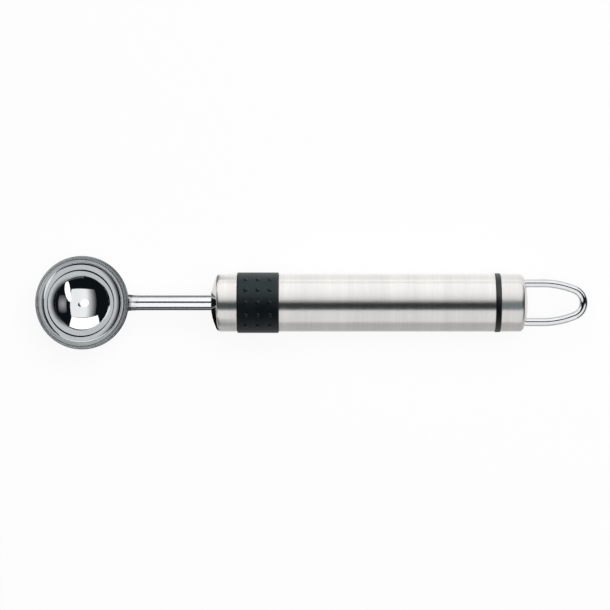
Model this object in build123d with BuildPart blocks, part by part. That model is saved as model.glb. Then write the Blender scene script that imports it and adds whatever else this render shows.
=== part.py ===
from build123d import *
from math import asin, atan2, cos, degrees, radians, sqrt
import os

# Melon baller: a steel bowl on a round stem, a steel handle with a rubber grip band and
# a wire loop to hang it by. It lies on a table with its bowl open upwards. +X runs from
# the bowl to the loop, +Z is up, and the origin is on the table under the middle of the
# whole length. All sizes are millimetres.

# Bowl: a pressed cup, nearly half a ball, with its cutting edge ground outside the rim
# and a vent hole in its floor.
bowl_rim_diameter = 31.1  # at the foot of the edge's bevel, where it is widest
bowl_depth = 11.8  # inside, from the edge down
bowl_wall = 0.6
rim_land = 0.1  # flat left on top of the cutting edge
rim_bevel_height = 0.7
vent_diameter = 3.2

# Stem: a solid rod, shaped at one end to the bowl it is welded to, with two flats on
# its tail inside the handle.
stem_diameter = 5.0
stem_below_rim = 0.8  # top of the stem under the rim of the bowl
stem_reach = 27.15  # from the rim of the bowl to the nose of the handle
stem_tail = 20.0  # hidden inside the handle
tail_flat_length = 8.0
tail_flat_thickness = 3.6
weld_height = 0.4  # stands out round the stem
weld_length = 3.4  # reaches along the stem from the bowl's rim
weld_toe = 0.1  # height left at the weld's thin end

# Steel skin of the handle: nose cap, main tube and end cap, all of one diameter.
handle_diameter = 19.2
steel_wall = 0.7
steel_edge = 0.25  # chamfer where a steel end meets rubber or plastic
nose_length = 8.85
nose_dome_radius = 21.0
nose_corner_radius = 1.5
tube_length = 71.85
end_cap_length = 9.2
end_dome_radius = 27.0
end_corner_radius = 1.6

# Grip sleeve: a rubber band with a field of small raised nubs on top and one beneath.
grip_length = 13.85
grip_proud = 0.48  # stands above the steel
grip_edge = 0.45
nub_top_rows = 5
nub_under_rows = 4
nub_row_angle = 25.0  # degrees round the sleeve from row to row
nub_columns = 3
nub_pitch = 4.0
nub_ball_radius = 0.85
nub_height = 0.4

# Spacer ring between the tube and the end cap.
ring_width = 1.85
ring_proud = 0.25
ring_edge = 0.6

# Moulded plastic inside the handle: a core and a plug at each of its ends.
core_wall = 2.85
core_waist_depth = 0.55  # recess that the grip sleeve sits in
plug_setback = 0.5  # from the end of a cap's rounded corner to its plug
stem_plug_head_share = 0.55  # of the room between the nose's corner and the grip
plug_shank_length = 9.0
plug_wall_past_stem = 2.0
plug_wall_past_leg = 2.0

# Hanging loop: one wire, bent to a pointed arch, with both legs in the end plug.
loop_wire_diameter = 2.75
loop_reach = 20.05  # past the end cap
loop_straight = 4.9  # straight leg outside the end cap
loop_leg_depth = 12.0  # inside the end plug
loop_leg_inset = 1.78  # from the handle's surface to the outside of a leg
loop_tip_share = 0.72  # tip radius as a share of half the leg spacing

# Room left between pieces that slide together, and round what passes through a cap.
fit_clearance = 0.05
hole_clearance = 0.1

# Cuts run past the faces they open by this much.
overrun = 2.0

# Radii that several pieces share.
handle_radius = handle_diameter / 2
skin_radius = handle_radius - steel_wall  # inside of every steel piece
core_radius = skin_radius - fit_clearance
waist_radius = core_radius - core_waist_depth
bore_radius = core_radius - core_wall
grip_radius = handle_radius + grip_proud
stem_radius = stem_diameter / 2
wire_radius = loop_wire_diameter / 2
rim_radius = bowl_rim_diameter / 2

# The bowl's outside is part of a sphere through its bevel's foot and its lowest point.
bevel_foot_height = bowl_depth + bowl_wall - rim_bevel_height
bowl_outer_radius = (rim_radius ** 2 + bevel_foot_height ** 2) / (2 * bevel_foot_height)
bowl_inner_radius = bowl_outer_radius - bowl_wall
rim_above_axis = stem_radius + stem_below_rim
ball_above_axis = rim_above_axis + bowl_inner_radius - bowl_depth

# The tool rests on the lowest of its nubs, or on its bowl if that reaches lower.
nub_seat_radius = grip_radius + nub_height - nub_ball_radius
lowest_row_turn = nub_row_angle / 2 if nub_under_rows % 2 == 0 else 0
nub_reach = nub_seat_radius * cos(radians(lowest_row_turn)) + nub_ball_radius
axis_height = max(nub_reach, bowl_outer_radius - ball_above_axis)

# Places along the handle, from the bowl's far edge to the tip of the loop.
overall_length = sum((
    bowl_rim_diameter, stem_reach, nose_length, grip_length, tube_length,
    ring_width, end_cap_length, loop_reach,
))
bowl_x = rim_radius - overall_length / 2
rim_x = bowl_x + rim_radius
nose_x = rim_x + stem_reach
grip_x = nose_x + nose_length
tube_x = grip_x + grip_length
ring_x = tube_x + tube_length
end_cap_x = ring_x + ring_width
end_x = end_cap_x + end_cap_length
tip_x = end_x + loop_reach


# How far behind a cap's apex its rounded corner ends and its straight skirt begins.
def corner_depth(dome_radius, corner_radius):
    corner_height = handle_radius - corner_radius
    return dome_radius - sqrt((dome_radius - corner_radius) ** 2 - corner_height ** 2)


nose_corner_x = nose_x + corner_depth(nose_dome_radius, nose_corner_radius)
end_corner_x = end_x - corner_depth(end_dome_radius, end_corner_radius)

# Plugs and core meet end to end.
stem_plug_x = nose_corner_x + plug_setback
core_x = stem_plug_x + (grip_x - stem_plug_x) * stem_plug_head_share
loop_plug_x = end_corner_x - plug_setback
core_end_x = loop_plug_x - loop_leg_depth - plug_wall_past_leg
tail_x = nose_x + stem_tail
leg_x = loop_plug_x - loop_leg_depth

# The handle's axis, and the half plane above it in which round pieces are drawn.
handle_axis = Axis((0, 0, axis_height), (1, 0, 0))
handle_side = Plane(origin=(0, 0, axis_height), x_dir=(1, 0, 0), z_dir=(0, -1, 0))
ball_centre = (bowl_x, 0, axis_height + ball_above_axis)
ball_side = Plane(origin=ball_centre, x_dir=(1, 0, 0), z_dir=(0, -1, 0))

os.makedirs("parts", exist_ok=True)


# A plane across the handle at x, with its own x axis straight up.
def across(x):
    return Plane(origin=(x, 0, axis_height), x_dir=(0, 0, 1), z_dir=(1, 0, 0))


# Bowl
rim_z = bowl_depth - bowl_inner_radius
foot_z = rim_z - rim_bevel_height
land_x = sqrt(bowl_inner_radius ** 2 - rim_z ** 2) + rim_land
with BuildPart() as bowl:
    with BuildSketch(ball_side):
        Circle(bowl_outer_radius)
        Circle(bowl_inner_radius, mode=Mode.SUBTRACT)
        with Locations((vent_diameter / 2, rim_z)):
            Rectangle(
                bowl_outer_radius, 2 * bowl_outer_radius,
                align=(Align.MIN, Align.MAX), mode=Mode.INTERSECT,
            )
        with BuildLine():
            Polyline(
                (land_x, rim_z),
                (rim_radius, foot_z),
                (rim_radius + overrun, foot_z),
                (rim_radius + overrun, rim_z + overrun),
                (land_x, rim_z + overrun),
                close=True,
            )
        make_face(mode=Mode.SUBTRACT)
    revolve(axis=Axis(ball_centre, (0, 0, 1)))

# Stem
with BuildPart() as stem:
    with BuildSketch(across(bowl_x)):
        Circle(stem_radius)
    extrude(amount=tail_x - bowl_x)
    with BuildSketch(across(tail_x - tail_flat_length)):
        Rectangle(stem_diameter + overrun, stem_diameter + overrun)
        Rectangle(tail_flat_thickness, stem_diameter + overrun, mode=Mode.SUBTRACT)
    extrude(amount=tail_flat_length, mode=Mode.SUBTRACT)
    with Locations(ball_centre):
        Sphere(bowl_outer_radius, mode=Mode.SUBTRACT)

# Weld bead round the stem, hollow on its outside like a fillet and fitted to the bowl
weld_end_x = rim_x + weld_length
weld_top = stem_radius + weld_height
with BuildPart() as bowl_weld:
    with BuildSketch(handle_side):
        with BuildLine():
            Polyline((bowl_x, stem_radius), (bowl_x, weld_top), (rim_x, weld_top))
            toe = (weld_end_x, stem_radius + weld_toe)
            TangentArc(toe, (rim_x, weld_top), tangent=(-1, 0))
            Polyline(toe, (weld_end_x, stem_radius), (bowl_x, stem_radius))
        make_face()
    revolve(axis=handle_axis)
    with Locations(ball_centre):
        Sphere(bowl_outer_radius, mode=Mode.SUBTRACT)


# Half outline of a domed cap in its own plane, whose x runs from the apex into the cap.
def cap_outline(length, dome_radius, corner_radius, inset):
    corner_height = handle_radius - corner_radius
    corner_x = corner_depth(dome_radius, corner_radius)
    turn = degrees(asin(corner_height / (dome_radius - corner_radius)))
    CenterArc((dome_radius, 0), dome_radius - inset, 180, -turn)
    CenterArc((corner_x, corner_height), corner_radius - inset, 180 - turn, turn - 90)
    Line((corner_x, handle_radius - inset), (length, handle_radius - inset))


# Section of a cap's steel wall, closed along the axis and at its open end.
def cap_section(length, dome_radius, corner_radius):
    cap_outline(length, dome_radius, corner_radius, 0)
    Line((length, handle_radius), (length, skin_radius))
    cap_outline(length, dome_radius, corner_radius, steel_wall)
    Line((steel_wall, 0), (0, 0))


# Nose cap, with a hole for the stem
nose_side = Plane(origin=(nose_x, 0, axis_height), x_dir=(1, 0, 0), z_dir=(0, -1, 0))
with BuildPart() as nose_cap:
    with BuildSketch(nose_side):
        with BuildLine():
            cap_section(nose_length, nose_dome_radius, nose_corner_radius)
        make_face()
    revolve(axis=handle_axis)
    with BuildSketch(across(nose_x - overrun)):
        Circle(stem_radius + hole_clearance)
    extrude(amount=2 * overrun, mode=Mode.SUBTRACT)
    open_end = nose_cap.edges().filter_by(GeomType.CIRCLE).group_by(Axis.X)[-1]
    chamfer(open_end.sort_by(SortBy.RADIUS)[-1], steel_edge)

# Stem plug: a head inside the nose cap and a shank in the core, moulded round the stem
with BuildPart() as stem_plug:
    with BuildSketch(across(stem_plug_x)):
        Circle(core_radius)
    extrude(amount=core_x - stem_plug_x)
    with BuildSketch(across(core_x)):
        Circle(bore_radius - fit_clearance)
    extrude(amount=tail_x + plug_wall_past_stem - core_x)
    with BuildSketch(across(stem_plug_x)):
        Circle(stem_radius + fit_clearance)
    extrude(amount=tail_x - tail_flat_length - stem_plug_x, mode=Mode.SUBTRACT)
    with BuildSketch(across(tail_x - tail_flat_length)):
        Circle(stem_radius + fit_clearance)
        Rectangle(
            tail_flat_thickness + 2 * fit_clearance, stem_diameter + overrun,
            mode=Mode.INTERSECT,
        )
    extrude(amount=tail_flat_length + fit_clearance, mode=Mode.SUBTRACT)

# Handle core: a moulded tube, with a recess that the grip sleeve sits in
with BuildPart() as handle_core:
    with BuildSketch(handle_side):
        with BuildLine():
            Polyline(
                (core_x, bore_radius),
                (core_x, core_radius),
                (grip_x, core_radius),
                (grip_x, waist_radius),
                (tube_x, waist_radius),
                (tube_x, core_radius),
                (core_end_x, core_radius),
                (core_end_x, bore_radius),
                close=True,
            )
        make_face()
    revolve(axis=handle_axis)

# Grip sleeve, with a field of nubs round its top and one round its underside
with BuildPart() as grip_sleeve:
    with BuildSketch(across(grip_x)):
        Circle(grip_radius)
    extrude(amount=grip_length)
    fillet(grip_sleeve.edges().filter_by(GeomType.CIRCLE), grip_edge)
    first_column_x = grip_x + grip_length / 2 - (nub_columns - 1) / 2 * nub_pitch
    for middle_angle, rows in ((0, nub_top_rows), (180, nub_under_rows)):
        half_field = (rows - 1) / 2 * nub_row_angle
        for column in range(nub_columns):
            with Locations(across(first_column_x + column * nub_pitch)):
                with PolarLocations(
                    nub_seat_radius, rows, middle_angle - half_field, 2 * half_field,
                    endpoint=True,
                ):
                    Sphere(nub_ball_radius)
    with BuildSketch(across(grip_x - overrun)):
        Circle(waist_radius + fit_clearance)
    extrude(amount=grip_length + 2 * overrun, mode=Mode.SUBTRACT)

# Main tube
with BuildPart() as handle_tube:
    with BuildSketch(across(tube_x)):
        Circle(handle_radius)
        Circle(skin_radius, mode=Mode.SUBTRACT)
    extrude(amount=tube_length)
    tube_ends = handle_tube.edges().filter_by(GeomType.CIRCLE).group_by(SortBy.RADIUS)[-1]
    chamfer(tube_ends, steel_edge)

# Spacer ring
with BuildPart() as spacer_ring:
    with BuildSketch(across(ring_x)):
        Circle(handle_radius + ring_proud)
        Circle(skin_radius, mode=Mode.SUBTRACT)
    extrude(amount=ring_width)
    ring_rims = spacer_ring.edges().filter_by(GeomType.CIRCLE).group_by(SortBy.RADIUS)[-1]
    fillet(ring_rims, ring_edge)

# End cap, with two holes for the legs of the loop
leg_y = handle_radius - loop_leg_inset - wire_radius
end_side = Plane(origin=(end_x, 0, axis_height), x_dir=(-1, 0, 0), z_dir=(0, 1, 0))
with BuildPart() as end_cap:
    with BuildSketch(end_side):
        with BuildLine():
            cap_section(end_cap_length, end_dome_radius, end_corner_radius)
        make_face()
    revolve(axis=handle_axis)
    with BuildSketch(across(end_corner_x)):
        with GridLocations(0, 2 * leg_y, 1, 2):
            Circle(wire_radius + hole_clearance)
    extrude(amount=end_x - end_corner_x + overrun, mode=Mode.SUBTRACT)
    open_end = end_cap.edges().filter_by(GeomType.CIRCLE).group_by(Axis.X)[0]
    chamfer(open_end.sort_by(SortBy.RADIUS)[-1], steel_edge)

# Loop plug: carries the ring and the end cap, holds both legs, and its shank is in the core
with BuildPart() as loop_plug:
    with BuildSketch(across(core_end_x)):
        Circle(core_radius)
    extrude(amount=loop_plug_x - core_end_x)
    with BuildSketch(across(core_end_x - plug_shank_length)):
        Circle(bore_radius - fit_clearance)
    extrude(amount=plug_shank_length)
    with BuildSketch(across(leg_x)):
        with GridLocations(0, 2 * leg_y, 1, 2):
            Circle(wire_radius + fit_clearance)
    extrude(amount=loop_leg_depth + overrun, mode=Mode.SUBTRACT)

# Hanging loop: two legs, two wide side arcs and a tip arc, each tangent to the next
tip_radius = loop_tip_share * leg_y
bend_x = end_x + loop_straight
arch_x = tip_x - wire_radius - tip_radius  # centre of the tip arc
arch_run = arch_x - bend_x
side_radius = (arch_run ** 2 + leg_y ** 2 - tip_radius ** 2) / (2 * (leg_y - tip_radius))
side_y = leg_y - side_radius
side_turn = degrees(atan2(arch_run, -side_y))
with BuildPart() as hanging_loop:
    with BuildLine(Plane.XY.offset(axis_height)):
        Line((leg_x, leg_y), (bend_x, leg_y))
        CenterArc((bend_x, side_y), side_radius, 90, -side_turn)
        CenterArc((arch_x, 0), tip_radius, 90 - side_turn, 2 * side_turn - 180)
        CenterArc((bend_x, -side_y), side_radius, side_turn - 90, -side_turn)
        Line((bend_x, -leg_y), (leg_x, -leg_y))
    with BuildSketch(Plane(origin=(leg_x, leg_y, axis_height), z_dir=(1, 0, 0))):
        Circle(wire_radius)
    sweep()

bowl.part.label = "bowl"
stem.part.label = "stem"
bowl_weld.part.label = "bowl_weld"
nose_cap.part.label = "nose_cap"
stem_plug.part.label = "stem_plug"
handle_core.part.label = "handle_core"
grip_sleeve.part.label = "grip_sleeve"
handle_tube.part.label = "handle_tube"
spacer_ring.part.label = "spacer_ring"
end_cap.part.label = "end_cap"
loop_plug.part.label = "loop_plug"
hanging_loop.part.label = "hanging_loop"

export_step(bowl.part, "parts/bowl.step")
export_step(stem.part, "parts/stem.step")
export_step(bowl_weld.part, "parts/bowl_weld.step")
export_step(nose_cap.part, "parts/nose_cap.step")
export_step(stem_plug.part, "parts/stem_plug.step")
export_step(handle_core.part, "parts/handle_core.step")
export_step(grip_sleeve.part, "parts/grip_sleeve.step")
export_step(handle_tube.part, "parts/handle_tube.step")
export_step(spacer_ring.part, "parts/spacer_ring.step")
export_step(end_cap.part, "parts/end_cap.step")
export_step(loop_plug.part, "parts/loop_plug.step")
export_step(hanging_loop.part, "parts/hanging_loop.step")

print("overall length", round(overall_length, 2), "axis height", round(axis_height, 3))
print("bowl sphere", round(bowl_inner_radius, 2), "side arc", round(side_radius, 2))
print("tip arc", round(tip_radius, 2), "half leg spacing", round(leg_y, 2))
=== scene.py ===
from math import asin, atan2, ceil, cos, degrees, hypot, pi, radians, sin, sqrt, tan

import bmesh
import bpy
from mathutils import Matrix, Vector


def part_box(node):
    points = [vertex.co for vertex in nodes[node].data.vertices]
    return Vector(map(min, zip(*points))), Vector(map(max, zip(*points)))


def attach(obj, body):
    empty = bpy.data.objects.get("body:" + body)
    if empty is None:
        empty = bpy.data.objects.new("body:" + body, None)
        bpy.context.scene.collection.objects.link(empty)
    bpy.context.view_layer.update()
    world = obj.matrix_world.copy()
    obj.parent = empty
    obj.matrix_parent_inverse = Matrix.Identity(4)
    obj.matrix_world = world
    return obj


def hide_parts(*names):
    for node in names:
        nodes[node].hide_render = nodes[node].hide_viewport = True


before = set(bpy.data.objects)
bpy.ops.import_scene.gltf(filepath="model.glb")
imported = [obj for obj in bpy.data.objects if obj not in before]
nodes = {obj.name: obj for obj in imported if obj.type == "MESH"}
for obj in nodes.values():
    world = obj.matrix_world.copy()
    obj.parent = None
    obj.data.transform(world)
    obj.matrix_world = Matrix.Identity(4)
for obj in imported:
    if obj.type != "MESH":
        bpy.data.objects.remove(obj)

# A melon baller on a white table, seen from straight above. Every place along the tool is
# read from the CAD boxes; the sizes in the dictionaries are millimetres unless they say
# otherwise, and mm turns them into Blender's metres.

mm = 0.001
scene = bpy.context.scene
scene.view_settings.view_transform = "Standard"
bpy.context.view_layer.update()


def toLinear(hexColour):
    channels = [int(hexColour[i:i + 2], 16) / 255 for i in (1, 3, 5)]
    linear = [c / 12.92 if c <= 0.04045 else ((c + 0.055) / 1.055) ** 2.4 for c in channels]
    return (*linear, 1.0)


# Adds a node, sets its properties, input values and colour stops, and links what is given
# as a socket.
def addNode(tree, kind, inputs=(), stops=(), **settings):
    node = tree.nodes.new(kind)
    for key, value in settings.items():
        setattr(node, key, value)
    for key, value in dict(inputs).items():
        if isinstance(value, bpy.types.NodeSocket):
            tree.links.new(value, node.inputs[key])
        else:
            node.inputs[key].default_value = value
    for i, (position, hexColour) in enumerate(stops):
        node.color_ramp.elements[i].position = position
        node.color_ramp.elements[i].color = toLinear(hexColour)
    return node


# Starts a material and gives its node tree and the point on the piece that it shades.
def startMaterial(name):
    material = bpy.data.materials.new(name)
    material.use_nodes = True
    tree = material.node_tree
    tree.nodes.clear()
    return material, tree, addNode(tree, "ShaderNodeTexCoord").outputs["Object"]


# Rounds the sharp corners of an outline of (along, out, band) points.
def soften(outline, radius, loop, limit=20, steps=4):
    result = []
    count = len(outline)
    for i, (x, y, band) in enumerate(outline):
        if not loop and i in (0, count - 1):
            result.append((x, y, band))
            continue
        px, py, before = outline[i - 1]
        nx, ny, _ = outline[(i + 1) % count]
        inward, outward = Vector((x - px, y - py)), Vector((nx - x, ny - y))
        turn = inward.angle(outward, 0)
        if degrees(turn) < limit:
            result.append((x, y, band))
            continue
        reach = min(radius * tan(turn / 2), 0.45 * inward.length, 0.45 * outward.length)
        start = Vector((x, y)) - inward.normalized() * reach
        end = Vector((x, y)) + outward.normalized() * reach
        for k in range(steps + 1):
            t = k / steps
            point = start.lerp(Vector((x, y)), t).lerp(Vector((x, y)).lerp(end, t), t)
            result.append((point.x, point.y, band if k == steps else before))
    return result


# Puts extra points on the long runs of an outline.
def divide(outline, longest, loop):
    result = []
    last = len(outline) if loop else len(outline) - 1
    for i in range(last):
        x, y, band = outline[i]
        nx, ny, _ = outline[(i + 1) % len(outline)]
        parts = max(1, ceil(hypot(nx - x, ny - y) / longest))
        for k in range(parts):
            result.append((x + (nx - x) * k / parts, y + (ny - y) * k / parts, band))
    if not loop:
        result.append(outline[-1])
    return result


# Joins rings of points into one closed mesh, with a UV map whose u runs along the piece
# and v round it. bands gives each strip between two rings its material slot.
def skin(name, rings, loop, bands=None, sharpAngle=28):
    bm = bmesh.new()
    brushing = bm.loops.layers.uv.new("brushing")
    rows = [[bm.verts.new(point) for point in ring] for ring in rings]
    count = len(rings[0])
    travel = [0.0]
    for i in range(len(rings)):
        step = rings[(i + 1) % len(rings)][0] - rings[i][0]
        travel.append(travel[-1] + step.length * 10)
    for i in range(len(rows) if loop else len(rows) - 1):
        here, there = rows[i], rows[(i + 1) % len(rows)]
        for j in range(count):
            k = (j + 1) % count
            face = bm.faces.new((here[j], there[j], there[k], here[k]))
            face.material_index = bands[i] if bands else 0
            spots = ((i, j), (i + 1, j), (i + 1, j + 1), (i, j + 1))
            for corner, (u, v) in zip(face.loops, spots):
                corner[brushing].uv = (travel[u], v / count)
    if not loop:
        for row in (rows[0], rows[-1]):
            if (row[0].co - row[count // 2].co).length > 1e-7:
                bm.faces.new(row)
    for face in bm.faces:
        face.smooth = True
    bmesh.ops.remove_doubles(bm, verts=bm.verts, dist=1e-7)
    bmesh.ops.recalc_face_normals(bm, faces=bm.faces)
    if bm.calc_volume(signed=True) < 0:
        bmesh.ops.reverse_faces(bm, faces=bm.faces)
    mesh = bpy.data.meshes.new(name)
    bm.to_mesh(mesh)
    bm.free()
    mesh.set_sharp_from_angle(angle=radians(sharpAngle))
    piece = bpy.data.objects.new(name, mesh)
    scene.collection.objects.link(piece)
    return piece


# Turns an outline of (along, out, band) points, in millimetres, round a line.
def revolve(name, outline, place, steps, loop=True):
    rings = []
    for along, out, _ in outline:
        turns = [2 * pi * j / steps for j in range(steps)]
        rings.append([place(along * mm, out * mm, turn) for turn in turns])
    return skin(name, rings, loop, [band for _, _, band in outline])


# Gives a finished piece its materials, if it has none yet, and ties it to the frame.
# Clearing the list would put every face back in the first slot.
def dress(piece, replaced, slot, *materials):
    if not piece.data.materials:
        for material in materials:
            piece.data.materials.append(material)
    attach(piece, "root")
    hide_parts(replaced)


# Evaluates a piece with its modifiers, keeps the plain mesh and drops the modifiers.
def flatten(piece, sharpAngle=28):
    bpy.context.view_layer.update()
    evaluated = piece.evaluated_get(bpy.context.evaluated_depsgraph_get())
    mesh = bpy.data.meshes.new_from_object(evaluated)
    piece.modifiers.clear()
    piece.data = mesh
    mesh.name = piece.name
    mesh.shade_smooth()
    mesh.set_sharp_from_angle(angle=radians(sharpAngle))


# Starts a Geometry Nodes tree with its named inputs, and gives their sockets.
def startTree(name, inputs):
    tree = bpy.data.node_groups.new(name, "GeometryNodeTree")
    for label, kind in (("Geometry", "Geometry"), *inputs):
        tree.interface.new_socket(label, in_out="INPUT", socket_type="NodeSocket" + kind)
    tree.interface.new_socket("Geometry", in_out="OUTPUT", socket_type="NodeSocketGeometry")
    return tree, addNode(tree, "NodeGroupInput").outputs


# Ends a tree with plain geometry of one material.
def endTree(tree, geometry, material):
    plain = addNode(tree, "GeometryNodeRealizeInstances", {"Geometry": geometry})
    coloured = addNode(tree, "GeometryNodeSetMaterial", {
        "Geometry": plain.outputs[0], "Material": material})
    addNode(tree, "NodeGroupOutput", {"Geometry": coloured.outputs[0]})


# Runs a tree on a piece, with its inputs set by their sockets' identifiers.
def runTree(piece, tree, values):
    modifier = piece.modifiers.new(tree.name, "NODES")
    modifier.node_group = tree
    for item in tree.interface.items_tree:
        if item.in_out == "INPUT" and item.name in values:
            modifier[item.identifier] = values[item.name]
    flatten(piece)


tubeLow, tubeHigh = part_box("handle_tube")
axisZ = (tubeLow.z + tubeHigh.z) / 2
handleRadius = (tubeHigh.z - tubeLow.z) / 2 / mm
bowlLow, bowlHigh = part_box("bowl")
bowlX = (bowlLow.x + bowlHigh.x) / 2
rimX = bowlHigh.x / mm


def aroundHandle(along, out, turn):
    return Vector((along, -out * sin(turn), axisZ + out * cos(turn)))


def aroundBowl(along, out, turn):
    return Vector((bowlX + out * cos(turn), out * sin(turn), along))


# The camera looks straight down, its middle a little off the tool's, as in the photograph.
view = {"x": -2.28, "y": -0.77, "height": 930, "lens": 164.7}
camera = bpy.data.objects.new("camera", bpy.data.cameras.new("camera"))
camera.data.sensor_width = 36
camera.data.lens = view["lens"]
camera.data.clip_start = 0.05
camera.data.clip_end = 20
camera.location = (view["x"] * mm, view["y"] * mm, axisZ + view["height"] * mm)
scene.collection.objects.link(camera)
scene.camera = camera
print("camera ready")


# Stainless steel, satin brushed round the handle with a fine belt: a soft grey that smears
# reflections along the handle and keeps them sharp round it, with faint hoops in its tone.
# The caps' faces are buffed smoother, so dark things show in them.
satin = {
    "steel": "#e4e2df",
    "steelDark": "#d4d2d0",
    "roughness": 0.32,
    "faceRoughness": 0.1,
    "anisotropy": 0.92,
    "hoopPitch": 0.55,  # real belt lines are 0.08 mm apart; these are coarse enough to show
    "hoopLength": 14,
    "bandPitch": 3.2,
    "bandLength": 40,
    "grooveHeight": 0.0011,
}


def satinBrushedSteel(name, roughness):
    material, tree, place = startMaterial(name)
    hoopScale = [1 / (satin[key] * mm) for key in ("hoopPitch", "hoopLength", "hoopLength")]
    bandScale = [1 / (satin[key] * mm) for key in ("bandPitch", "bandLength", "bandLength")]
    fine = addNode(tree, "ShaderNodeMapping", {"Vector": place, "Scale": hoopScale})
    hoops = addNode(tree, "ShaderNodeTexNoise", {
        "Vector": fine.outputs[0], "Scale": 1.0, "Detail": 3.0, "Roughness": 0.65})
    wide = addNode(tree, "ShaderNodeMapping", {"Vector": place, "Scale": bandScale})
    patches = addNode(tree, "ShaderNodeTexNoise", {
        "Vector": wide.outputs[0], "Scale": 1.0, "Detail": 2.0, "Roughness": 0.5})
    tone = addNode(tree, "ShaderNodeMath", {
        0: hoops.outputs[0], 1: patches.outputs[0]}, operation="ADD")
    share = addNode(tree, "ShaderNodeMapRange", {
        "Value": tone.outputs[0], "From Min": 0.6, "From Max": 1.4})
    colour = addNode(tree, "ShaderNodeValToRGB", {"Fac": share.outputs[0]}, stops=(
        (0.0, satin["steelDark"]), (1.0, satin["steel"])))
    rough = addNode(tree, "ShaderNodeMapRange", {
        "Value": hoops.outputs[0], "From Min": 0.25, "From Max": 0.75,
        "To Min": roughness - 0.03, "To Max": roughness + 0.04})
    grooves = addNode(tree, "ShaderNodeBump", {
        "Height": hoops.outputs[0], "Strength": 1.0, "Distance": satin["grooveHeight"] * mm})
    tangent = addNode(tree, "ShaderNodeTangent", direction_type="UV_MAP", uv_map="brushing")
    shader = addNode(tree, "ShaderNodeBsdfPrincipled", {
        "Base Color": colour.outputs[0], "Metallic": 1.0, "Roughness": rough.outputs[0],
        "Normal": grooves.outputs[0], "Tangent": tangent.outputs[0],
        "Anisotropic": satin["anisotropy"]})
    addNode(tree, "ShaderNodeOutputMaterial", {"Surface": shader.outputs[0]})
    return material


# Stainless steel, mirror polished: shows the lights as they are, with a few hairlines and
# a trace of the press's waviness.
mirror = {
    "steel": "#cfd1d2",
    "steelDark": "#c3c6c8",
    "roughness": 0.03,
    "hairPitch": 0.25,
    "hairLength": 9,
    "hairTurn": 35,  # degrees
    "wavePitch": 7,
    "waveHeight": 0.0002,
    "hairRoughness": 0.06,  # added along a hairline
}


def mirrorPolishedSteel(name):
    material, tree, place = startMaterial(name)
    hairScale = [1 / (mirror[key] * mm) for key in ("hairPitch", "hairLength", "hairLength")]
    hair = addNode(tree, "ShaderNodeMapping", {
        "Vector": place, "Rotation": (0.0, 0.0, radians(mirror["hairTurn"])), "Scale": hairScale})
    hairs = addNode(tree, "ShaderNodeTexNoise", {
        "Vector": hair.outputs[0], "Scale": 1.0, "Detail": 4.0, "Roughness": 0.7})
    waves = addNode(tree, "ShaderNodeTexNoise", {
        "Vector": place, "Scale": 1 / (mirror["wavePitch"] * mm), "Detail": 1.0})
    colour = addNode(tree, "ShaderNodeValToRGB", {"Fac": hairs.outputs[0]}, stops=(
        (0.35, mirror["steel"]), (0.85, mirror["steelDark"])))
    rough = addNode(tree, "ShaderNodeMapRange", {
        "Value": hairs.outputs[0], "From Min": 0.55, "From Max": 0.8,
        "To Min": mirror["roughness"], "To Max": mirror["roughness"] + mirror["hairRoughness"]})
    press = addNode(tree, "ShaderNodeBump", {
        "Height": waves.outputs[0], "Strength": 1.0, "Distance": mirror["waveHeight"] * mm})
    shader = addNode(tree, "ShaderNodeBsdfPrincipled", {
        "Base Color": colour.outputs[0], "Metallic": 1.0, "Roughness": rough.outputs[0],
        "Normal": press.outputs[0]})
    addNode(tree, "ShaderNodeOutputMaterial", {"Surface": shader.outputs[0]})
    return material


# Stainless steel, ground round the rim: a grey cutting edge with fine rings.
ground = {
    "steel": "#94999b",
    "steelDark": "#6f7578",
    "roughness": 0.3,
    "ringPitch": 0.1,
    "grooveHeight": 0.002,
}


def groundSteel(name):
    material, tree, place = startMaterial(name)
    centred = addNode(tree, "ShaderNodeMapping", {"Vector": place, "Location": (-bowlX, 0.0, 0.0)})
    split = addNode(tree, "ShaderNodeSeparateXYZ", {"Vector": centred.outputs[0]})
    rings = addNode(tree, "ShaderNodeMath", {
        0: split.outputs["Z"], 1: 1 / (ground["ringPitch"] * mm)}, operation="MULTIPLY")
    turn = addNode(tree, "ShaderNodeMath", {
        0: split.outputs["Y"], 1: split.outputs["X"]}, operation="ARCTAN2")
    track = addNode(tree, "ShaderNodeCombineXYZ", {"X": rings.outputs[0], "Y": turn.outputs[0]})
    scratches = addNode(tree, "ShaderNodeTexNoise", {
        "Vector": track.outputs[0], "Scale": 1.0, "Detail": 3.0, "Roughness": 0.6})
    colour = addNode(tree, "ShaderNodeValToRGB", {"Fac": scratches.outputs[0]}, stops=(
        (0.3, ground["steelDark"]), (0.7, ground["steel"])))
    rough = addNode(tree, "ShaderNodeMapRange", {
        "Value": scratches.outputs[0], "From Min": 0.3, "From Max": 0.7,
        "To Min": ground["roughness"] + 0.08, "To Max": ground["roughness"] - 0.05})
    grooves = addNode(tree, "ShaderNodeBump", {
        "Height": scratches.outputs[0], "Strength": 1.0, "Distance": ground["grooveHeight"] * mm})
    shader = addNode(tree, "ShaderNodeBsdfPrincipled", {
        "Base Color": colour.outputs[0], "Metallic": 1.0, "Roughness": rough.outputs[0],
        "Normal": grooves.outputs[0]})
    addNode(tree, "ShaderNodeOutputMaterial", {"Surface": shader.outputs[0]})
    return material


# Drawn stainless rod or wire, polished: near mirror, with hairlines along its length.
drawn = {
    "steel": "#d8d9da",
    "steelDark": "#c4c6c8",
    "rodRoughness": 0.07,
    "wireRoughness": 0.06,
    "lineRoughness": 0.05,  # added along a line
    "linePitch": 0.3,
    "lineLength": 25,
}


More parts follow.
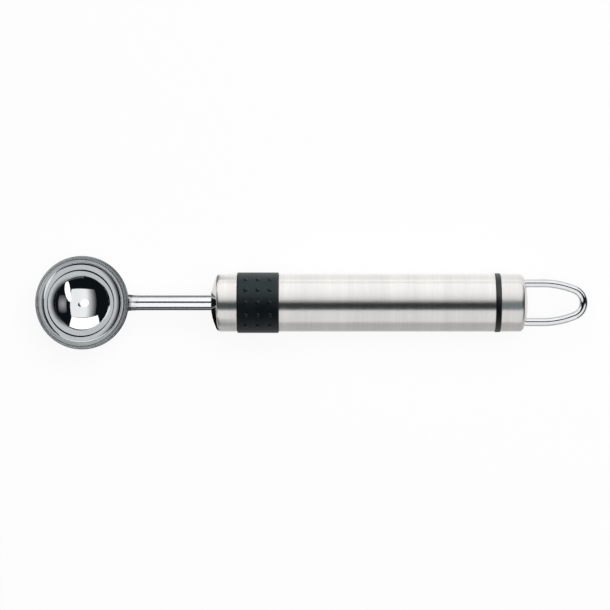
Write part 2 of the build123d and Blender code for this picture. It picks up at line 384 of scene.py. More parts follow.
def polishedDrawnSteel(name, roughness):
    material, tree, place = startMaterial(name)
    lineScale = [1 / (drawn[key] * mm) for key in ("lineLength", "linePitch", "linePitch")]
    along = addNode(tree, "ShaderNodeMapping", {"Vector": place, "Scale": lineScale})
    lines = addNode(tree, "ShaderNodeTexNoise", {
        "Vector": along.outputs[0], "Scale": 1.0, "Detail": 3.0, "Roughness": 0.6})
    colour = addNode(tree, "ShaderNodeValToRGB", {"Fac": lines.outputs[0]}, stops=(
        (0.3, drawn["steelDark"]), (0.65, drawn["steel"])))
    rough = addNode(tree, "ShaderNodeMapRange", {
        "Value": lines.outputs[0], "From Min": 0.3, "From Max": 0.75,
        "To Min": roughness, "To Max": roughness + drawn["lineRoughness"]})
    shader = addNode(tree, "ShaderNodeBsdfPrincipled", {
        "Base Color": colour.outputs[0], "Metallic": 1.0, "Roughness": rough.outputs[0]})
    addNode(tree, "ShaderNodeOutputMaterial", {"Surface": shader.outputs[0]})
    return material


# Stainless weld, blended and lightly polished: duller than the rod, with a low ripple, and
# dark grey painted shade beside the bowl, where the bead meets it.
weld = {
    "steel": "#cccdcd",
    # The dark grey is painted shade where the bead meets the bowl.
    "jointShade": "#5d6366",
    "jointShadeLength": 2.6,  # from the rim
    "roughness": 0.13,
    "ripplePitch": 1.1,
    "rippleHeight": 0.012,
}


def blendedWeld(name):
    material, tree, place = startMaterial(name)
    ripple = addNode(tree, "ShaderNodeTexNoise", {
        "Vector": place, "Scale": 1 / (weld["ripplePitch"] * mm), "Detail": 2.0})
    along = addNode(tree, "ShaderNodeSeparateXYZ", {"Vector": place}).outputs["X"]
    # Painted shade: darkest at the rim, fading out away from it along the bead.
    awayFromRim = addNode(tree, "ShaderNodeMapRange", {
        "Value": along, "From Min": rimX * mm, "From Max": (rimX + weld["jointShadeLength"]) * mm})
    tone = addNode(tree, "ShaderNodeMath", {
        0: awayFromRim.outputs[0], 1: 0.5, 2: ripple.outputs[0]}, operation="MULTIPLY_ADD")
    colour = addNode(tree, "ShaderNodeValToRGB", {"Fac": tone.outputs[0]}, stops=(
        (0.45, weld["jointShade"]), (0.85, weld["steel"])))
    rough = addNode(tree, "ShaderNodeMapRange", {
        "Value": ripple.outputs[0], "From Min": 0.3, "From Max": 0.7,
        "To Min": weld["roughness"], "To Max": weld["roughness"] + 0.1})
    bead = addNode(tree, "ShaderNodeBump", {
        "Height": ripple.outputs[0], "Strength": 1.0, "Distance": weld["rippleHeight"] * mm})
    shader = addNode(tree, "ShaderNodeBsdfPrincipled", {
        "Base Color": colour.outputs[0], "Metallic": 1.0, "Roughness": rough.outputs[0],
        "Normal": bead.outputs[0]})
    addNode(tree, "ShaderNodeOutputMaterial", {"Surface": shader.outputs[0]})
    return material


# Moulded black thermoplastic rubber: matt blue-black with a fine spark-eroded grain that
# breaks up its soft highlight.
rubber = {
    "black": "#11191c",
    "worn": "#1a2427",
    "sheen": "#dceff4",
    "roughness": 0.5,
    "grain": 0.16,  # real grain is about 0.05 mm; coarse enough to show here
    "grainHeight": 0.012,
    "mottle": 3.5,
}


def mouldedRubber(name):
    material, tree, place = startMaterial(name)
    grain = addNode(tree, "ShaderNodeTexNoise", {
        "Vector": place, "Scale": 1 / (rubber["grain"] * mm), "Detail": 2.0, "Roughness": 0.6})
    mottle = addNode(tree, "ShaderNodeTexNoise", {
        "Vector": place, "Scale": 1 / (rubber["mottle"] * mm), "Detail": 3.0})
    colour = addNode(tree, "ShaderNodeValToRGB", {"Fac": mottle.outputs[0]}, stops=(
        (0.35, rubber["black"]), (0.7, rubber["worn"])))
    rough = addNode(tree, "ShaderNodeMapRange", {
        "Value": mottle.outputs[0], "From Min": 0.3, "From Max": 0.7,
        "To Min": rubber["roughness"] - 0.03, "To Max": rubber["roughness"] + 0.05})
    pits = addNode(tree, "ShaderNodeBump", {
        "Height": grain.outputs[0], "Strength": 1.0, "Distance": rubber["grainHeight"] * mm})
    shader = addNode(tree, "ShaderNodeBsdfPrincipled", {
        "Base Color": colour.outputs[0], "Roughness": rough.outputs[0], "Normal": pits.outputs[0],
        "Specular Tint": toLinear(rubber["sheen"])})
    addNode(tree, "ShaderNodeOutputMaterial", {"Surface": shader.outputs[0]})
    return material


# Moulded nylon: the black ring is satin, the hidden core and plugs are duller and greyer.
nylon = {
    "ring": {"dark": "#14191b", "light": "#1d2325", "roughness": 0.36, "grain": 0.4},
    "core": {"dark": "#2b2c2d", "light": "#3a3b3c", "roughness": 0.55, "grain": 0.25},
    "flowHeight": 0.006,
}


def mouldedNylon(name, dark, light, roughness, grain):
    material, tree, place = startMaterial(name)
    mottle = addNode(tree, "ShaderNodeTexNoise", {
        "Vector": place, "Scale": 1 / (grain * mm), "Detail": 3.0, "Roughness": 0.6})
    colour = addNode(tree, "ShaderNodeValToRGB", {"Fac": mottle.outputs[0]}, stops=(
        (0.3, dark), (0.7, light)))
    rough = addNode(tree, "ShaderNodeMapRange", {
        "Value": mottle.outputs[0], "From Min": 0.3, "From Max": 0.7,
        "To Min": roughness, "To Max": roughness + 0.08})
    flow = addNode(tree, "ShaderNodeBump", {
        "Height": mottle.outputs[0], "Strength": 1.0, "Distance": nylon["flowHeight"] * mm})
    shader = addNode(tree, "ShaderNodeBsdfPrincipled", {
        "Base Color": colour.outputs[0], "Roughness": rough.outputs[0], "Normal": flow.outputs[0]})
    addNode(tree, "ShaderNodeOutputMaterial", {"Surface": shader.outputs[0]})
    return material


handleSteel = satinBrushedSteel("satinBrushedSteel", satin["roughness"])
faceSteel = satinBrushedSteel("buffedFaceSteel", satin["faceRoughness"])
bowlSteel = mirrorPolishedSteel("mirrorPolishedSteel")
edgeSteel = groundSteel("groundSteelEdge")
rodSteel = polishedDrawnSteel("polishedRodSteel", drawn["rodRoughness"])
wireSteel = polishedDrawnSteel("polishedWireSteel", drawn["wireRoughness"])
weldSteel = blendedWeld("blendedWeldSteel")
gripRubber = mouldedRubber("mouldedRubber")
ringNylon = mouldedNylon("satinBlackNylon", **nylon["ring"])
coreNylon = mouldedNylon("glassFilledNylon", **nylon["core"])
print("materials ready")


# Bowl: part of a ball inside and out, with its edge ground to a bevel outside the rim.
bowl = {
    "depth": 11.8,
    "wall": 0.6,
    "landWidth": 0.1,
    "bevelHeight": 0.7,
    "ventRadius": 1.6,
    "edgeRounding": 0.05,
    "arcSteps": 84,
    "roundSteps": 288,
}
rimRadius = (bowlHigh.x - bowlLow.x) / 2 / mm
rimZ = bowlHigh.z / mm
footHeight = bowl["depth"] + bowl["wall"] - bowl["bevelHeight"]
outerRadius = (rimRadius ** 2 + footHeight ** 2) / (2 * footHeight)
innerRadius = outerRadius - bowl["wall"]
ballZ = rimZ + innerRadius - bowl["depth"]


# Points on a sphere of the bowl between two distances from its middle line.
def bowlArc(radius, fromOut, toOut, band):
    start, end = asin(fromOut / radius), asin(toOut / radius)
    turns = [start + (end - start) * k / bowl["arcSteps"] for k in range(bowl["arcSteps"] + 1)]
    return [(ballZ - radius * cos(t), radius * sin(t), band) for t in turns]


edgeRadius = sqrt(innerRadius ** 2 - (ballZ - rimZ) ** 2)
inside = bowlArc(innerRadius, bowl["ventRadius"], edgeRadius, 0)
inside[-1] = (*inside[-1][:2], 1)
land = [(rimZ, edgeRadius + bowl["landWidth"], 1)]
outside = bowlArc(outerRadius, rimRadius, bowl["ventRadius"], 0)
outline = soften(inside + land + outside, bowl["edgeRounding"], loop=True)
bowlShell = revolve("bowlShell", outline, aroundBowl, bowl["roundSteps"])
dress(bowlShell, "bowl", "bowl_steel", bowlSteel, edgeSteel)
print("bowl ready")


# Stem: a rod whose near end follows the bowl and whose hidden tail has two flats.
stem = {
    "radius": 2.5,
    "flatLength": 8.0,
    "flatThickness": 3.6,
    "tailRounding": 0.3,
    "ringPitch": 1.4,
    "roundSteps": 96,
}
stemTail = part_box("stem")[1].x / mm
ballHeight = ballZ - axisZ / mm  # of the bowl's ball above the handle's axis


# How far along the handle a line beside its axis meets the outside of the bowl.
def meetsBowl(out, turn):
    y, z = -out * sin(turn), out * cos(turn)
    return bowlX / mm + sqrt(outerRadius ** 2 - y ** 2 - (z - ballHeight) ** 2)


turns = [2 * pi * j / stem["roundSteps"] for j in range(stem["roundSteps"])]
rings = [[aroundHandle(meetsBowl(stem["radius"], t) * mm, stem["radius"] * mm, t) for t in turns]]
flatStart = stemTail - stem["flatLength"]
count = int((flatStart - rimX) / stem["ringPitch"])
places = [rimX + 0.4 + k * stem["ringPitch"] for k in range(count)] + [flatStart - 0.01]
for x in places:
    rings.append([aroundHandle(x * mm, stem["radius"] * mm, t) for t in turns])
for x, inset in ((flatStart, 0), (stemTail - stem["tailRounding"], 0), (stemTail, stem["tailRounding"])):
    out = stem["radius"] - inset
    half = stem["flatThickness"] / 2 - inset
    ring = []
    for t in turns:
        z = max(-half, min(half, out * cos(t)))
        ring.append(Vector((x * mm, -out * sin(t) * mm, axisZ + z * mm)))
    rings.append(ring)
stemRod = skin("stemRod", rings, loop=False)
dress(stemRod, "stem", "stem_steel", rodSteel)

# Weld bead: hollow towards the stem like a fillet, and slightly lumpy.
bead = {
    "height": 0.4,
    "length": 3.4,
    "toe": 0.03,
    "steps": 14,
    "lumps": 0.035,
}


# Height of the bead over the stem at a share of its length.
def beadHeight(share, turn):
    hollow = (1 - share) ** 2
    uneven = bead["lumps"] * (sin(5 * turn + 7 * share) + 0.6 * sin(9 * turn - 11 * share + 1))
    return bead["toe"] + (bead["height"] - bead["toe"]) * hollow + uneven * (1 - share) * share


rings = [[aroundHandle(meetsBowl(stem["radius"], t) * mm, stem["radius"] * mm, t) for t in turns]]
for k in range(bead["steps"] + 1):
    share = k / bead["steps"]
    ring = []
    for t in turns:
        out = stem["radius"] + beadHeight(share, t)
        start = meetsBowl(out, t)
        x = start + (rimX + bead["length"] - start) * share
        ring.append(aroundHandle(x * mm, out * mm, t))
    rings.append(ring)
rings.append([aroundHandle((rimX + bead["length"]) * mm, stem["radius"] * mm, t) for t in turns])
weldBead = skin("weldBead", rings, loop=True, sharpAngle=50)
dress(weldBead, "bowl_weld", "weld_steel", weldSteel)
print("stem and weld ready")


# The steel skin of the handle: all three pieces share its wall and edges.
steel = {"wall": 0.7, "edgeRounding": 0.12, "roundSteps": 240, "domeSteps": 32, "cornerSteps": 20}
skinRadius = handleRadius - steel["wall"]


# One side of a cap's wall, from its middle out along the dome, the corner and the skirt,
# as (depth behind the apex, out, band) points. Band 1 is the buffed face.
def capSide(cap, inset, fromOut):
    dome, corner = cap["dome"], cap["corner"]
    cornerOut = handleRadius - corner
    cornerDepth = dome - sqrt((dome - corner) ** 2 - cornerOut ** 2)
    turn = asin(cornerOut / (dome - corner))
    first = asin(fromOut / (dome - inset))
    side = []
    steps = steel["domeSteps"]
    for k in range(steps + 1):
        t = first + (turn - first) * k / steps
        side.append((dome - (dome - inset) * cos(t), (dome - inset) * sin(t), 1))
    steps = steel["cornerSteps"]
    for k in range(1, steps + 1):
        t = turn + (pi / 2 - turn) * k / steps
        depth = cornerDepth - (corner - inset) * cos(t)
        side.append((depth, cornerOut + (corner - inset) * sin(t), 1 if k < steps / 2 else 0))
    side.append((cap["length"], handleRadius - inset, 0))
    return side


nose = {"length": 8.85, "dome": 21.0, "corner": 1.5, "stemHole": 2.6}
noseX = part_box("nose_cap")[1].x / mm - nose["length"]
outline = capSide(nose, 0, nose["stemHole"]) + capSide(nose, steel["wall"], nose["stemHole"])[::-1]
outline = divide(soften(outline, steel["edgeRounding"], loop=True), 1.2, loop=True)
outline = [(noseX + depth, out, band) for depth, out, band in outline]
noseCap = revolve("noseCap", outline, aroundHandle, steel["roundSteps"])
dress(noseCap, "nose_cap", "handle_steel", handleSteel, faceSteel)

outline = [(tubeLow.x / mm, skinRadius, 0), (tubeLow.x / mm, handleRadius, 0),
           (tubeHigh.x / mm, handleRadius, 0), (tubeHigh.x / mm, skinRadius, 0)]
outline = divide(soften(outline, steel["edgeRounding"], loop=True), 3.0, loop=True)
handleTube = revolve("handleTube", outline, aroundHandle, steel["roundSteps"])
dress(handleTube, "handle_tube", "handle_steel", handleSteel)

# End cap, bored for the two legs of the loop before it is dressed.
end = {"length": 9.2, "dome": 27.0, "corner": 1.6, "legHole": 1.475, "legY": 6.445, "boreSteps": 64}
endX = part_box("end_cap")[1].x / mm
outline = capSide(end, 0, 0.0) + capSide(end, steel["wall"], 0.0)[::-1]
outline = divide(soften(outline, steel["edgeRounding"], loop=False), 1.2, loop=False)
outline = [(endX - depth, out, band) for depth, out, band in outline]
endCap = revolve("endCap", outline, aroundHandle, steel["roundSteps"], loop=False)
endCap.data.materials.append(handleSteel)
endCap.data.materials.append(faceSteel)
for side in (1, -1):
    turns = [2 * pi * j / end["boreSteps"] for j in range(end["boreSteps"])]
    rings = []
    for x in (endX - 4.0, endX + 2.0):
        rings.append([Vector((x * mm, (side * end["legY"] + end["legHole"] * cos(t)) * mm,
                              axisZ + end["legHole"] * sin(t) * mm)) for t in turns])
    drill = skin("drill", rings, loop=False)
    bore = endCap.modifiers.new("bore", "BOOLEAN")
    bore.operation = "DIFFERENCE"
    bore.solver = "EXACT"
    bore.object = drill
    flatten(endCap)
    bpy.data.objects.remove(drill)
dress(endCap, "end_cap", "handle_steel", handleSteel, faceSteel)
print("steel caps and tube ready")


# Grip sleeve: a round band, on which Geometry Nodes raise a field of nubs on top and one
# underneath.
grip = {
    "radius": 10.08,
    "boreRadius": 8.35,
    "edgeRounding": 0.45,
    "topRows": 5,
    "underRows": 4,
    "rowTurn": 25.0,  # degrees
    "columns": 3,
    "pitch": 4.0,
    "ballRadius": 0.85,  # of the ball that each nub is the top of
    "nubHeight": 0.4,
    "nubSides": 28,
    "roundSteps": 240,
}
gripLow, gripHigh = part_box("grip_sleeve")
gripStart, gripEnd = gripLow.x / mm, gripHigh.x / mm
outline = [(gripStart, grip["boreRadius"], 0), (gripStart, grip["radius"], 0),
           (gripEnd, grip["radius"], 0), (gripEnd, grip["boreRadius"], 0)]
outline = divide(soften(outline, grip["edgeRounding"], loop=True, steps=6), 0.9, loop=True)
gripSleeve = revolve("gripSleeve", outline, aroundHandle, grip["roundSteps"])


# Sets balls into the sleeve in rows and columns and joins them to it, so that each one's
# top stands up as a nub. Each sum's terms are inputs, earlier sums or numbers.
def nubTree():
    floats = ("Axis Height", "Middle", "Seat Radius", "Ball Radius", "Pitch", "Row Turn", "Field Turn")
    inputs = [(label, "Float") for label in floats]
    inputs += [(label, "Int") for label in ("Rows", "Columns", "Sides")]
    tree, given = startTree("raiseNubs", [*inputs, ("Rubber", "Material")])
    values = {label: given[label] for label, _ in inputs}
    values["index"] = addNode(tree, "GeometryNodeInputIndex").outputs[0]
    sums = (
        ("column", "MODULO", "index", "Columns"),
        ("lastColumn", "SUBTRACT", "Columns", 1),
        ("columnStep", "MULTIPLY_ADD", "lastColumn", -0.5, "column"),
        ("x", "MULTIPLY_ADD", "columnStep", "Pitch", "Middle"),
        ("rowShare", "DIVIDE", "index", "Columns"),
        ("row", "FLOOR", "rowShare"),
        ("lastRow", "SUBTRACT", "Rows", 1),
        ("rowStep", "MULTIPLY_ADD", "lastRow", -0.5, "row"),
        ("turn", "MULTIPLY_ADD", "rowStep", "Row Turn", "Field Turn"),
        ("leftward", "SINE", "turn"),
        ("across", "MULTIPLY", "leftward", -1),
        ("y", "MULTIPLY", "across", "Seat Radius"),
        ("upward", "COSINE", "turn"),
        ("z", "MULTIPLY_ADD", "upward", "Seat Radius", "Axis Height"),
        ("count", "MULTIPLY", "Rows", "Columns"),
    )
    for name, operation, *terms in sums:
        entries = {i: values.get(term, term) for i, term in enumerate(terms)}
        values[name] = addNode(tree, "ShaderNodeMath", entries, operation=operation).outputs[0]
    place = addNode(tree, "ShaderNodeCombineXYZ", {"X": values["x"], "Y": values["y"], "Z": values["z"]})
    spots = addNode(tree, "GeometryNodePoints", {"Count": values["count"], "Position": place.outputs[0]})
    facing = addNode(tree, "ShaderNodeCombineXYZ", {"X": values["turn"]})
    outward = addNode(tree, "FunctionNodeEulerToRotation", {0: facing.outputs[0]})
    ball = addNode(tree, "GeometryNodeMeshUVSphere", {
        "Segments": given["Sides"], "Rings": given["Sides"], "Radius": given["Ball Radius"]})
    nubs = addNode(tree, "GeometryNodeInstanceOnPoints", {
        "Points": spots.outputs[0], "Instance": ball.outputs[0], "Rotation": outward.outputs[0]})
    loose = addNode(tree, "GeometryNodeRealizeInstances", {"Geometry": nubs.outputs[0]})
    joined = addNode(tree, "GeometryNodeMeshBoolean", {"Mesh 2": given["Geometry"]},
                     operation="UNION", solver="EXACT")
    tree.links.new(loose.outputs[0], joined.inputs["Mesh 2"])
    endTree(tree, joined.outputs[0], given["Rubber"])
    return tree


raiseNubs = nubTree()
for rows, fieldTurn in ((grip["topRows"], 0.0), (grip["underRows"], pi)):
    runTree(gripSleeve, raiseNubs, {
        "Axis Height": axisZ, "Middle": (gripStart + gripEnd) / 2 * mm,
        "Seat Radius": (grip["radius"] + grip["nubHeight"] - grip["ballRadius"]) * mm,
        "Ball Radius": grip["ballRadius"] * mm, "Pitch": grip["pitch"] * mm,
        "Row Turn": radians(grip["rowTurn"]), "Field Turn": fieldTurn, "Rows": rows,
        "Columns": grip["columns"], "Sides": grip["nubSides"], "Rubber": gripRubber,
    })
dress(gripSleeve, "grip_sleeve", "grip_rubber", gripRubber)

# Spacer ring between the tube and the end cap.
spacer = {"proud": 0.25, "rounding": 0.55}
ringLow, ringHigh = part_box("spacer_ring")
ringOut = handleRadius + spacer["proud"]
outline = [(ringLow.x / mm, skinRadius, 0), (ringLow.x / mm, ringOut, 0),
           (ringHigh.x / mm, ringOut, 0), (ringHigh.x / mm, skinRadius, 0)]
outline = soften(outline, spacer["rounding"], loop=True, steps=8)
spacerRing = revolve("spacerRing", outline, aroundHandle, steel["roundSteps"])
dress(spacerRing, "spacer_ring", "ring_plastic", ringNylon)
print("grip and ring ready")


# Hanging loop: one wire along a bent line of two legs, two wide arcs and a tip arc, swept
# by Geometry Nodes.
wire = {"radius": 1.375, "straight": 4.9, "tipRadius": 4.6404, "arcSteps": 56, "sides": 48}
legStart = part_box("hanging_loop")[0].x / mm
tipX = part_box("hanging_loop")[1].x / mm
bendX = endX + wire["straight"]
archX = tipX - wire["radius"] - wire["tipRadius"]
legY, tipRadius = end["legY"], wire["tipRadius"]
sideRadius = ((archX - bendX) ** 2 + legY ** 2 - tipRadius ** 2) / (2 * (legY - tipRadius))
sideTurn = atan2(archX - bendX, sideRadius - legY)
bend = [(legStart, legY), (legStart + 6, legY), (endX - 1, legY), (endX + 2, legY)]
for k in range(wire["arcSteps"] + 1):
    t = sideTurn * k / wire["arcSteps"]
    bend.append((bendX + sideRadius * sin(t), legY - sideRadius + sideRadius * cos(t)))
for k in range(1, wire["arcSteps"] + 1):
    t = sideTurn + (pi / 2 - sideTurn) * k / wire["arcSteps"]
    bend.append((archX + tipRadius * sin(t), tipRadius * cos(t)))
bend += [(x, -y) for x, y in bend[-2::-1]]

path = bpy.data.meshes.new("loopPath")
path.from_pydata([(x * mm, y * mm, axisZ) for x, y in bend],
                 [(i, i + 1) for i in range(len(bend) - 1)], [])
hangingLoop = bpy.data.objects.new("hangingLoop", path)
scene.collection.objects.link(hangingLoop)


def wireTree():
    tree, given = startTree("sweepWire", (
        ("Wire Radius", "Float"), ("Sides", "Int"), ("Steel", "Material")))
    line = addNode(tree, "GeometryNodeMeshToCurve", {"Mesh": given["Geometry"]})
    section = addNode(tree, "GeometryNodeCurvePrimitiveCircle", {
        "Resolution": given["Sides"], "Radius": given["Wire Radius"]})
    swept = addNode(tree, "GeometryNodeCurveToMesh", {
        "Curve": line.outputs[0], "Profile Curve": section.outputs[0], "Fill Caps": True})
    endTree(tree, swept.outputs[0], given["Steel"])
    return tree


runTree(hangingLoop, wireTree(), {
    "Wire Radius": wire["radius"] * mm, "Sides": wire["sides"], "Steel": wireSteel})
dress(hangingLoop, "hanging_loop", "loop_steel", wireSteel)
print("loop ready")

for name in ("stem_plug", "handle_core", "loop_plug"):
    nodes[name].data.materials.clear()
    nodes[name].data.materials.append(coreNylon)
print("inside plastics ready")


# The table is a flat disc that curves up far away into a low backdrop. The eye and the
# metal see most of its white by its own light, and the rest, with the tool's shadow, by
# the table lamp.
table = {
    "flatRadius": 3000,
    "sweepRadius": 900,
    "sweepTurn": 62,  # degrees the backdrop curves up
    "sweepSteps": 24,
    "roundSteps": 96,
    "white": "#fbfbfb",
    "seenGlow": 0.9,  # share of the table's tone, to the camera, that the lamp doesn't make
    "mirroredGlow": 0.6,  # the same in the metal
}


def paleTable(name):
    material, tree, _ = startMaterial(name)
    ray = addNode(tree, "ShaderNodeLightPath").outputs
    shares = [addNode(tree, "ShaderNodeMath", {0: ray[kind], 1: table[glow]}, operation="MULTIPLY")
              for kind, glow in (("Is Camera Ray", "seenGlow"), ("Is Glossy Ray", "mirroredGlow"),
                                 ("Is Transmission Ray", "seenGlow"))]
    share = shares[0].outputs[0]
    for other in shares[1:]:
        share = addNode(tree, "ShaderNodeMath", {
            0: share, 1: other.outputs[0]}, operation="MAXIMUM").outputs[0]
    cloth = addNode(tree, "ShaderNodeBsdfPrincipled", {
        "Base Color": toLinear(table["white"]), "Roughness": 0.9, "Specular IOR Level": 0.0})
    glow = addNode(tree, "ShaderNodeEmission", {"Color": (1.0, 1.0, 1.0, 1.0), "Strength": 1.0})
    mix = addNode(tree, "ShaderNodeMixShader", {0: share, 1: cloth.outputs[0], 2: glow.outputs[0]})
    addNode(tree, "ShaderNodeOutputMaterial", {"Surface": mix.outputs[0]})
    return material


outline = [(0.0, 60.0), (0.0, 400.0), (0.0, table["flatRadius"])]
for k in range(1, table["sweepSteps"] + 1):
    t = radians(table["sweepTurn"]) * k / table["sweepSteps"]
    outline.append((table["sweepRadius"] * (1 - cos(t)),
                    table["flatRadius"] + table["sweepRadius"] * sin(t)))
bm = bmesh.new()
count = table["roundSteps"]
turns = [2 * pi * j / count for j in range(count)]
rows = [[bm.verts.new((out * cos(t) * mm, out * sin(t) * mm, z * mm)) for t in turns]
        for z, out in outline]
bm.faces.new(rows[0])
for here, there in zip(rows, rows[1:]):
    for j in range(count):
        k = (j + 1) % count
        bm.faces.new((here[j], there[j], there[k], here[k]))
for face in bm.faces:
    face.smooth = True
mesh = bpy.data.meshes.new("tableTop")
bm.to_mesh(mesh)
bm.free()
tableTop = bpy.data.objects.new("tableTop", mesh)
scene.collection.objects.link(tableTop)
mesh.materials.append(paleTable("paleTable"))

# The room is dark to the tool and pale to the eye.
room = {"dark": "#12181b", "pale": "#f2f2f2"}
world = bpy.data.worlds.new("studioRoom")
world.use_nodes = True
world.node_tree.nodes.clear()
tree = world.node_tree
tones = [addNode(tree, "ShaderNodeBackground", {"Color": toLinear(room[key]), "Strength": 1.0})
         for key in ("dark", "pale")]
seen = addNode(tree, "ShaderNodeLightPath").outputs["Is Camera Ray"]
mix = addNode(tree, "ShaderNodeMixShader", {
    0: seen, 1: tones[0].outputs[0], 2: tones[1].outputs[0]})
addNode(tree, "ShaderNodeOutputWorld", {"Surface": mix.outputs[0]})
scene.world = world


# Cards that only the metal sees, glowing sheets that paint its reflections: dark ones stand where the
# photograph's metal shows something dark, as painted shade of the table under the stem and of dark
# surroundings, a grey one paints the table's shade along the tool's near side, and a bright one glows as
# painted light that lifts it along the far side.
cards = {
    "lensCard": {"middle": (28, 78, 945), "size": (180, 180), "sides": 48, "grey": "#1e2224"},
    # Painted shade: a black sheet on the table under the nose and stem.
    "noseCard": {"middle": (-48, -9, 0.4), "size": (28, 26), "grey": "#050505"},
    "farCard": {"middle": (-255, 0, 0.3), "size": (290, 200), "grey": "#1c2022"},
    "backCard": {"middle": (-47, 36, 0.4), "size": (28, 48), "grey": "#84888a"},
    "stemCard": {"middle": (-57, -45, 15.5), "size": (48, 31), "grey": "#5c6466",
                 "upward": (0, 0, 1)},
    "endCard": {"middle": (126, 0, 13), "size": (140, 26), "grey": "#15191b",
                "across": (0, 1, 0), "upward": (0, 0, 1)},
    # Painted shade of the table along the tool's near side.
    "shadeCard": {"middle": (0, -215, 0.2), "size": (460, 406), "grey": "#cacaca"},
    # Painted light: a sheet that glows brighter than the table along the far side.
    "glowCard": {"middle": (22, 64, 0.2), "size": (110, 104), "grey": "#ffffff", "strength": 1.12},
}
for name, card in cards.items():
    material, tree, _ = startMaterial(name)
    plain = addNode(tree, "ShaderNodeEmission", {
        "Color": toLinear(card["grey"]), "Strength": card.get("strength", 1.0)})
    addNode(tree, "ShaderNodeOutputMaterial", {"Surface": plain.outputs[0]})
    sides = card.get("sides", 4)
    middle = Vector(card["middle"])
    across, upward = Vector(card.get("across", (1, 0, 0))), Vector(card.get("upward", (0, 1, 0)))
    points = []
    for j in range(sides):
        t = 2 * pi * (j + 0.5) / sides
        x, y = (size / 2 / cos(pi / sides) for size in card["size"])
        points.append((middle + across * x * cos(t) + upward * y * sin(t)) * mm)
    mesh = bpy.data.meshes.new(name)
    mesh.from_pydata(points, [], [list(range(sides))])
    mesh.materials.append(material)
    sheet = bpy.data.objects.new(name, mesh)
    sheet.visible_camera = False
    sheet.visible_diffuse = False
    sheet.visible_shadow = False
    scene.collection.objects.link(sheet)


# Hangs a lamp panel that fills a window of directions, seen from a point of the tool:
# leans and tilts are the window's ranges in degrees from straight up, towards +X and
# towards +Y. glow is how bright it looks where it faces the tool squarely, which is in
# the window's middle or at its peak (lean, tilt), and with a narrower spread it fades
# from there on. It lights only its receivers.
def hangPanel(name, receivers, aim, leans, tilts, glow, distance=1200, spread=180, peak=None,
              shape="RECTANGLE", tint="#ffffff"):
    peakLean, peakTilt = peak or (sum(leans) / 2, sum(tilts) / 2)
    lean, tilt = radians(peakLean), radians(peakTilt)
    away = Vector((sin(lean), cos(lean) * sin(tilt), cos(lean) * cos(tilt)))
    side = Vector((cos(lean), -sin(lean) * sin(tilt), -sin(lean) * cos(tilt)))
    upward = away.cross(side)
    low, high = (distance * mm * tan(radians(edge - peakLean)) for edge in leans)
    near, far = (distance * mm * tan(radians(edge - peakTilt)) for edge in tilts)
    middle = Vector(aim) + away * distance * mm + side * (low + high) / 2 + upward * (near + far) / 2
    lamp = bpy.data.lights.new(name, "AREA")
    lamp.shape = shape
    lamp.size, lamp.size_y = high - low, far - near
    lamp.spread = radians(spread)
    half = radians(spread) / 2
    fade = 1 - half / tan(half) if spread < 180 else 1
    area = lamp.size * lamp.size_y * (pi / 4 if shape == "ELLIPSE" else 1)
    lamp.energy = glow * pi * area * fade
    lamp.color = toLinear(tint)[:3]
    panel = bpy.data.objects.new(name, lamp)
    panel.matrix_world = Matrix.Translation(middle) @ Matrix((side, upward, away)).transposed().to_4x4()
    panel.visible_camera = False
    scene.collection.objects.link(panel)
    group = bpy.data.collections.new(name + "Receivers")
    for receiver in receivers:
        group.objects.link(receiver)
    panel.light_linking.receiver_collection = group


bowlMiddle = (bowlX, 0, rimZ * mm)
stemMiddle = (-0.047, 0, axisZ)
handleMiddle = (0.02, 0, axisZ)
loopMiddle = (0.082, 0, axisZ)
bowlGroup = [bowlShell]
stemGroup = [stemRod, weldBead]
handleGroup = [noseCap, handleTube, endCap]
softGroup = [gripSleeve, spacerRing]
loopGroup = [hangingLoop]

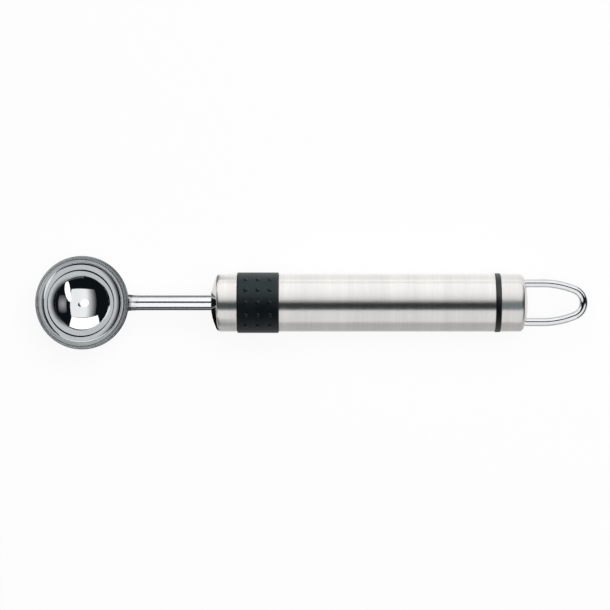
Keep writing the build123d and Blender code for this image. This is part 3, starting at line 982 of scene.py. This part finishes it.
cool = {"tint": "#d6e5ec"}  # the dark line along the handle is a little blue
panels = [
    ("bowlSide", bowlGroup, bowlMiddle, (-38, 26), (38, 73), 1.9, {}),
    ("bowlSlit", bowlGroup, bowlMiddle, (29, 42), (-60, -8), 2.0, {"shape": "ELLIPSE"}),
    ("bowlDim", bowlGroup, bowlMiddle, (41, 62), (-16, 32), 0.5, {"spread": 44, "peak": (50, 4)}),
    ("stemTop", stemGroup, stemMiddle, (-12, 60), (17, 84), 1.45, {}),
    ("stemFar", stemGroup, stemMiddle, (-12, 60), (-68, -1), 1.45, {}),
    ("handleSide", handleGroup, handleMiddle, (-60, 60), (0, 84), 1.4,
     {"spread": 165, "peak": (0, 78)}),
    ("handleLow", handleGroup, handleMiddle, (-75, 75), (77, 99), 0.3, {"distance": 60}),
    ("handleFar", handleGroup, handleMiddle, (-60, 60), (-84, -30), 0.97, {}),
    ("tubeFill", [handleTube], handleMiddle, (-50, 50), (-30, 0), 0.04, cool),
    ("noseFill", [noseCap], handleMiddle, (-50, 50), (-30, 0), 0.1, cool),
    ("endFill", [endCap], handleMiddle, (-50, 50), (-30, 0), 0.33, cool),
    ("softTop", softGroup, handleMiddle, (-20, 60), (20, 80), 1.65, {}),
    ("softFar", softGroup, handleMiddle, (-50, 50), (-80, -50), 0.25, {}),
    ("softKey", softGroup, handleMiddle, (34, 44), (30, 42), 8.0, {}),
    ("loopTop", loopGroup, loopMiddle, (-60, 60), (24, 84), 1.35, {}),
    ("loopFar", loopGroup, loopMiddle, (-60, 60), (-84, -3), 1.2, {}),
    ("tableLamp", [tableTop], (0, 0, 0), (-20, 45), (-20, 50), 2.6, {}),
]
# The panel over the bowl fades out towards -X, so it is a pile of sheets, widest first.
pile = {"leans": (-34, 31), "step": 3, "tilts": (-35, 37),
        "glows": (0.11, 0.1, 0.12, 0.15, 0.18, 0.2, 0.2, 0.18, 0.14, 0.1, 0.06)}
for i, glow in enumerate(pile["glows"]):
    leans = (pile["leans"][0] + pile["step"] * i, pile["leans"][1])
    panels.append((f"bowlTop{i}", bowlGroup, bowlMiddle, leans, pile["tilts"], glow, {}))
for name, group, aim, leans, tilts, glow, extra in panels:
    hangPanel(name, group, aim, leans, tilts, glow, **extra)
print("table and lamps ready")
